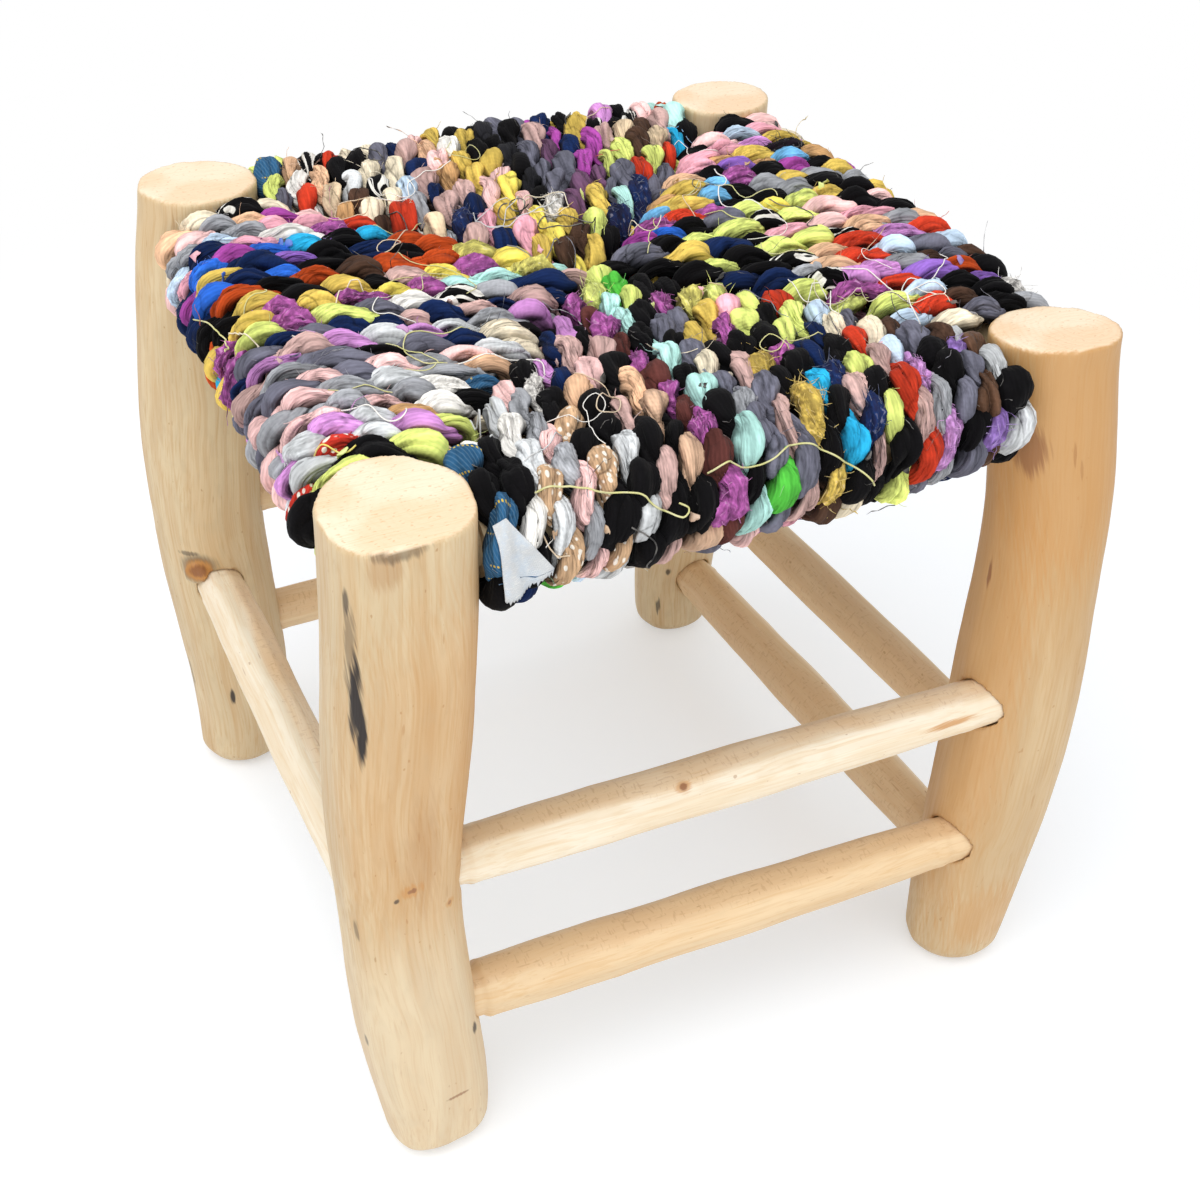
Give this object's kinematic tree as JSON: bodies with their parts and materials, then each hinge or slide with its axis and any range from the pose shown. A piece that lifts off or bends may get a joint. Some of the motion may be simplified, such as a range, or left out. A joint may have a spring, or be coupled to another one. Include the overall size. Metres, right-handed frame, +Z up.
{
  "type": "woven rope stool",
  "caption": "Low square stool of peeled branch legs and hewn rungs, with a seat woven from twisted rag rope in triangles that meet on the diagonals.",
  "frame": {"origin": "on the floor, under the middle of the stool's footprint", "axes": "+Z up, +X to the right and +Y to the back, seen from the front side"},
  "size_m": [0.3962, 0.3794, 0.3836],
  "materials": {
    "leg_wood": "peeled, satin",
    "rung_wood": "hewn, satin",
    "rail_wood": "hewn, raw",
    "rag_rope": "mixed cloth rags"
  },
  "bodies": {
    "root": {"leg_front_left": "leg_wood", "leg_front_right": "leg_wood", "leg_back_left": "leg_wood", "leg_back_right": "leg_wood", "rung_front_upper": "rung_wood", "rung_front_lower": "rung_wood", "rung_right_upper": "rung_wood", "rung_right_lower": "rung_wood", "rung_back_upper": "rung_wood", "rung_back_lower": "rung_wood", "rung_left": "rung_wood", "seat_rail_front": "rail_wood", "seat_rail_right": "rail_wood", "seat_rail_back": "rail_wood", "seat_rail_left": "rail_wood", "seat_cords_front": "rag_rope", "seat_cords_right": "rag_rope", "seat_cords_back": "rag_rope", "seat_cords_left": "rag_rope", "buried_runs_front_to_back": "rag_rope", "buried_runs_side_to_side": "rag_rope"}
  },
  "joints": []
}
